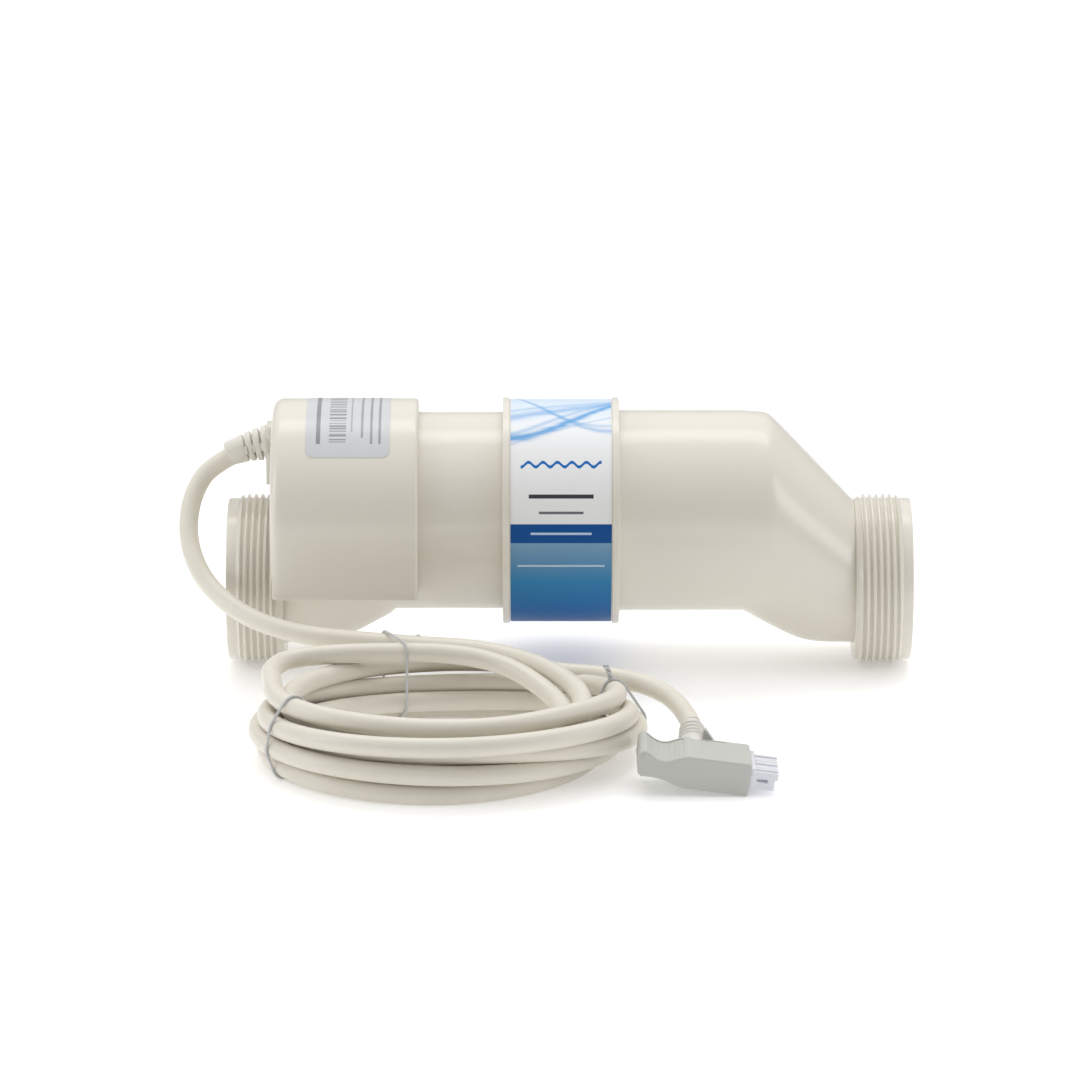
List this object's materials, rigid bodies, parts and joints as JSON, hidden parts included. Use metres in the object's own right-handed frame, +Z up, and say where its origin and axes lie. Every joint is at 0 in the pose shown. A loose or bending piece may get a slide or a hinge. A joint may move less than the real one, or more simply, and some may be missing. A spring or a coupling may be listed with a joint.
{
  "type": "salt chlorine generator cell",
  "caption": "Inline salt chlorine generator cell: round flow tube with offset threaded union ends, terminal cover, electrode pack inside, and a coiled cable with a plug.",
  "frame": {"origin": "on the floor, under the middle of the cell's length and width, the cable left out", "axes": "+X along the tube from the cable end to the plain end, +Y away from the coiled cable, +Z up"},
  "size_m": [0.4213, 0.3577, 0.1547],
  "materials": {
    "cable_end_plastic": "glossy warm white moulded plastic",
    "plain_end_plastic": "glossy warm white moulded plastic",
    "cover_plastic": "glossy warm white moulded plastic",
    "front_label_film": "printed film in white, pale blue and deep blue",
    "data_label_film": "pale grey printed film",
    "potting_resin": "cast resin",
    "coated_titanium": "dark oxide coated titanium",
    "spacer_plastic": "white moulded plastic",
    "bare_titanium": "bare titanium",
    "seal_rubber": "black rubber",
    "stainless_steel": "stainless steel",
    "tinned_copper": "tinned copper alloy",
    "wire_insulation": "black and red wire insulation",
    "cable_jacket": "satin warm white cable jacket",
    "gland_plastic": "satin warm white flexible plastic",
    "plug_plastic": "satin grey moulded plastic",
    "plug_boot": "satin pale grey flexible plastic",
    "insulator_plastic": "cool white moulded plastic",
    "tie_coating": "grey coated wire"
  },
  "bodies": {
    "root": {"cable_end_housing": "cable_end_plastic", "cable_gland": "gland_plastic", "cord_coil": "cable_jacket", "cord_lead": "cable_jacket", "cord_tail": "cable_jacket", "data_label": "data_label_film", "electrode_plate_01": "coated_titanium", "electrode_plate_02": "coated_titanium", "electrode_plate_03": "coated_titanium", "electrode_plate_04": "coated_titanium", "electrode_plate_05": "coated_titanium", "electrode_plate_06": "coated_titanium", "electrode_plate_07": "coated_titanium", "electrode_plate_08": "coated_titanium", "electrode_plate_09": "coated_titanium", "electrode_plate_10": "coated_titanium", "electrode_plate_11": "coated_titanium", "electrode_plate_12": "coated_titanium", "electrode_plate_13": "coated_titanium", "front_label": "front_label_film", "lead_seal_centre": "seal_rubber", "lead_seal_front": "seal_rubber", "lead_seal_rear": "seal_rubber", "lead_strap_centre": "bare_titanium", "lead_strap_front": "bare_titanium", "lead_strap_rear": "bare_titanium", "lead_stud_centre": "bare_titanium", "lead_stud_front": "bare_titanium", "lead_stud_rear": "bare_titanium", "lead_wire_centre": "wire_insulation", "lead_wire_front": "wire_insulation", "lead_wire_rear": "wire_insulation", "nut_inner_centre": "stainless_steel", "nut_inner_front": "stainless_steel", "nut_inner_rear": "stainless_steel", "nut_outer_centre": "stainless_steel", "nut_outer_front": "stainless_steel", "nut_outer_rear": "stainless_steel", "plain_end_housing": "plain_end_plastic", "plate_spacer_a": "spacer_plastic", "plate_spacer_b": "spacer_plastic", "plug_body": "plug_plastic", "plug_contacts": "tinned_copper", "plug_insulator": "insulator_plastic", "plug_strain_relief": "plug_boot", "potting_front": "potting_resin", "potting_rear": "potting_resin", "ring_terminal_centre": "tinned_copper", "ring_terminal_front": "tinned_copper", "ring_terminal_rear": "tinned_copper", "sensor_wire": "wire_insulation", "temperature_probe": "bare_titanium", "terminal_cover": "cover_plastic", "tie_back": "tie_coating", "tie_left": "tie_coating", "tie_right": "tie_coating", "washer_centre": "stainless_steel", "washer_front": "stainless_steel", "washer_rear": "stainless_steel"}
  },
  "joints": []
}
